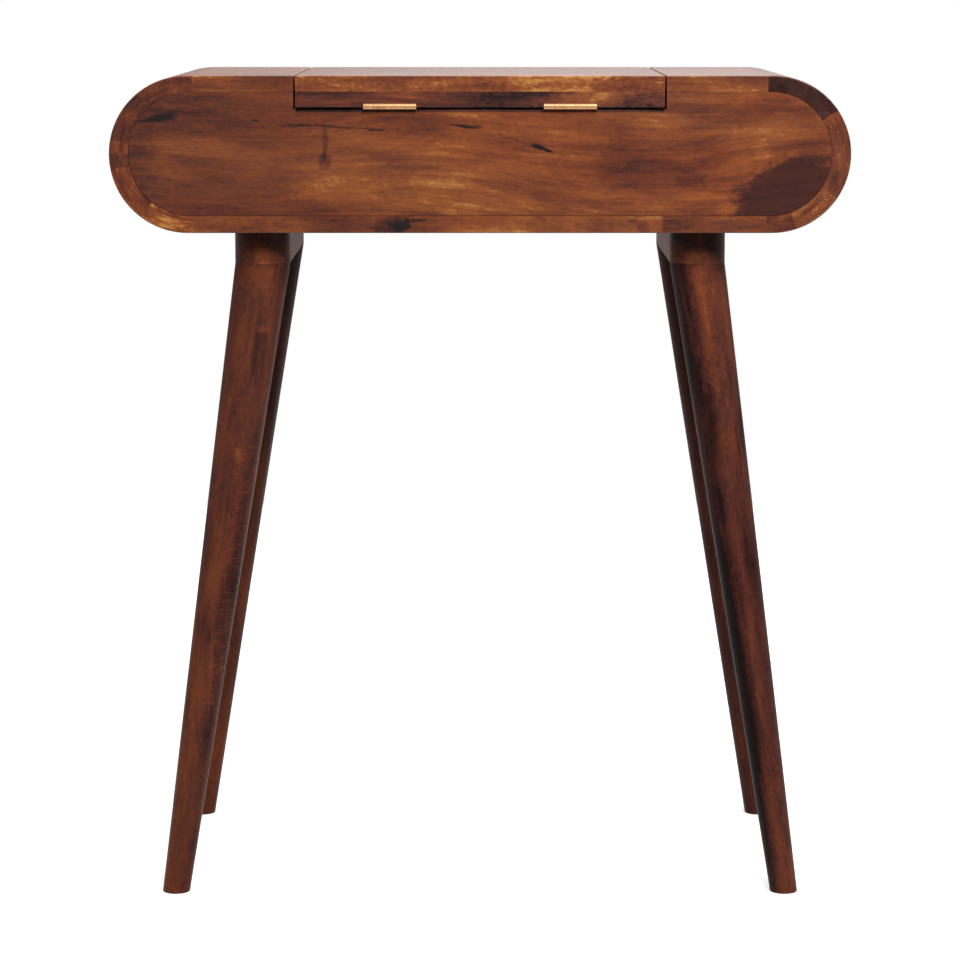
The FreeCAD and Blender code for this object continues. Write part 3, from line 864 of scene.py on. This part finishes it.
class VANITY_OT_boards(bpy.types.Operator):
    """Finish the fixed boards of the top, the bottom and the partitions"""

    bl_idname = "vanity.boards"
    bl_label = "Boards"

    def execute(self, context):
        boards = {"top_board_left": (5, 0.64), "top_board_right": (21, 0.6), "bottom_board": (7, 0.54)}
        for node, (seed, base) in boards.items():
            dress(board_wood(node, seed, base), node)
        for seed, node in enumerate(("partition_left", "partition_right"), 8):
            dress(partition_wood(node, seed), node)
        return {"FINISHED"}


class VANITY_OT_lid(bpy.types.Operator):
    """Finish the lid, its battens and the beads round the mirror"""

    bl_idname = "vanity.lid"
    bl_label = "Lid"

    def execute(self, context):
        dress(lid_wood(), "lid_board")
        for seed, (side, base) in enumerate({"hinge_side": 0.36, "user_side": 0.4}.items(), 11):
            dress(batten_wood(side, seed, base), "lid_batten_" + side)
        short_batten = plain_wood(
            "batten_wood_sides", grain_y, seed=13, base=0.36, contrast=1.0, roughness=0.42
        )
        dress(short_batten, "lid_batten_left", "lid_batten_right")
        long_bead = plain_wood("bead_wood_long", grain_x, seed=14, base=0.48, contrast=0.7, roughness=0.4)
        dress(long_bead, "mirror_bead_hinge_side", "mirror_bead_user_side")
        short_bead = plain_wood("bead_wood_short", grain_y, seed=15, base=0.48, contrast=0.7, roughness=0.4)
        dress(short_bead, "mirror_bead_left", "mirror_bead_right")
        return {"FINISHED"}


class VANITY_OT_legs(bpy.types.Operator):
    """Finish the four legs and the rails that carry them"""

    bl_idname = "vanity.legs"
    bl_label = "Legs"

    def execute(self, context):
        dress(leg_wood(), "leg_hinge_left", "leg_hinge_right", "leg_user_left", "leg_user_right")
        dress(rail_wood(), "leg_rail_left", "leg_rail_right")
        return {"FINISHED"}


class VANITY_OT_mirror(bpy.types.Operator):
    """Finish the mirror glass and the hardboard behind it"""

    bl_idname = "vanity.mirror"
    bl_label = "Mirror"

    def execute(self, context):
        dress(mirror_silver(), "mirror_glass")
        dress(hardboard(), "mirror_backing")
        return {"FINISHED"}


class VANITY_OT_fittings(bpy.types.Operator):
    """Finish the brass hinges and stays, the steel fasteners and the dowels"""

    bl_idname = "vanity.fittings"
    bl_label = "Fittings"

    def execute(self, context):
        fittings = [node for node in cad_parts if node.startswith(("hinge_", "stay_"))]
        dress(brushed_brass(), *fittings)
        dress(dull_brass(), "hinge_fixed_screws", "hinge_moving_screws")
        dress(plated_steel(), "leg_bolts", "leg_inserts", "rail_screws")
        dress(dowel_wood(), "joint_dowels")
        return {"FINISHED"}


class VANITY_OT_stage(bpy.types.Operator):
    """Set the floor, the lights and the camera"""

    bl_idname = "vanity.stage"
    bl_label = "Stage"

    def execute(self, context):
        stage = context.scene.vanity_stage
        lay_floor(stage)
        light_room(stage)
        soft_light("key_light", KEY_LIGHT_PLACE, KEY_LIGHT_SIZE, stage.key)
        soft_light("back_light", BACK_LIGHT_PLACE, BACK_LIGHT_SIZE, stage.key * BACK_LIGHT_SHARE)
        place_camera(stage)
        context.scene.view_settings.view_transform = "Standard"
        return {"FINISHED"}


def floor_paper(stage):
    """Pale matt paper that glows a little."""
    paper = Finish("floor_paper")
    soft = paper.noise(paper.point, (3.0, 3.0, 3.0), 2.0)
    shade = paper.mix(soft * 0.05, linear(stage.floor), linear(darker(stage.floor, 0.97)))
    glow = {"Emission Color": linear(stage.floor), "Emission Strength": stage.paper_glow}
    return paper.surface(shade, 0.9, **glow)


def lay_floor(stage):
    """Flat disc under the feet: its rim is radius (cos t, sin t, 0)."""
    turn = np.linspace(0, 2 * pi, FLOOR_CORNERS, endpoint=False)
    rim = np.stack([FLOOR_RADIUS * np.cos(turn), FLOOR_RADIUS * np.sin(turn), np.zeros_like(turn)], 1)
    mesh = bpy.data.meshes.new("floor")
    mesh.from_pydata(rim.tolist(), [], [list(range(len(rim)))])
    mesh.materials.append(floor_paper(stage))
    floor = bpy.data.objects.new("floor", mesh)
    floor.visible_diffuse = False
    bpy.context.scene.collection.objects.link(floor)


def light_room(stage):
    """Room that is white to the camera and lights the table from above, behind and both sides."""
    world = bpy.data.worlds.new("studio")
    room = Nodes(world, "Generated")
    above = room.z.most(0.0)
    behind = room.y.step(0.0, 0.9) * abs(room.z).step(0.7, 0.2)
    beside = abs(room.x).step(0.6, 1.0)
    glow = above * above * stage.ceiling + behind * stage.backdrop + beside * stage.sides + stage.dimness
    seen = room.node("ShaderNodeLightPath", output="Is Camera Ray")
    light = room.node(
        "ShaderNodeBackground", None, {"Color": linear((1, 1, 1)), "Strength": seen.most(glow)}
    )
    room.node("ShaderNodeOutputWorld", None, {"Surface": light})
    bpy.context.scene.world = world


def soft_light(name, place, size, power):
    """Square area light that looks at the table's axis, above its middle."""
    lamp = bpy.data.lights.new(name, "AREA")
    lamp.size = size
    lamp.energy = power
    light = bpy.data.objects.new(name, lamp)
    light.location = place
    target = Vector((0.0, 0.0, table_top * LIGHT_AIM))
    light.rotation_euler = (target - light.location).to_track_quat("-Z", "Y").to_euler()
    bpy.context.scene.collection.objects.link(light)


def place_camera(stage):
    """Camera in front of the hinge side that looks a little down."""
    camera = bpy.data.cameras.new("photo_view")
    camera.lens = stage.lens
    camera.sensor_width = SENSOR_WIDTH
    camera.clip_end = CAMERA_REACH
    viewer = bpy.data.objects.new("photo_view", camera)
    viewer.location = (0.0, -half_depth - stage.distance, stage.height)
    viewer.rotation_euler = (pi / 2 - stage.pitch, 0.0, 0.0)
    bpy.context.scene.collection.objects.link(viewer)
    bpy.context.scene.camera = viewer


class VANITY_PT_table(bpy.types.Panel):
    """Lists the settings and the finishing steps"""

    bl_label = "Vanity Table"
    bl_space_type = "VIEW_3D"
    bl_region_type = "UI"
    bl_category = "Vanity"

    def draw(self, context):
        for group in groups:
            settings = getattr(context.scene, group)
            for name in settings.__annotations__:
                self.layout.prop(settings, name)
        for operator in operators:
            self.layout.operator(operator.bl_idname)


operators = (
    VANITY_OT_panels,
    VANITY_OT_round_ends,
    VANITY_OT_boards,
    VANITY_OT_lid,
    VANITY_OT_legs,
    VANITY_OT_mirror,
    VANITY_OT_fittings,
    VANITY_OT_stage,
)
groups = {"vanity_wood": VanityWood, "vanity_metal": VanityMetal, "vanity_stage": VanityStage}


def register():
    """Register the classes and hang the settings on the scene."""
    for made in (*groups.values(), *operators, VANITY_PT_table):
        bpy.utils.register_class(made)
    for name, group in groups.items():
        setattr(bpy.types.Scene, name, bpy.props.PointerProperty(type=group))


def unregister():
    """Undo what register did."""
    for name in groups:
        delattr(bpy.types.Scene, name)
    for made in (*groups.values(), *operators, VANITY_PT_table):
        bpy.utils.unregister_class(made)


def main():
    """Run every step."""
    register()
    bpy.ops.vanity.panels()
    bpy.ops.vanity.round_ends()
    bpy.ops.vanity.boards()
    bpy.ops.vanity.lid()
    bpy.ops.vanity.legs()
    bpy.ops.vanity.mirror()
    bpy.ops.vanity.fittings()
    bpy.ops.vanity.stage()


if __name__ == "__main__":
    main()
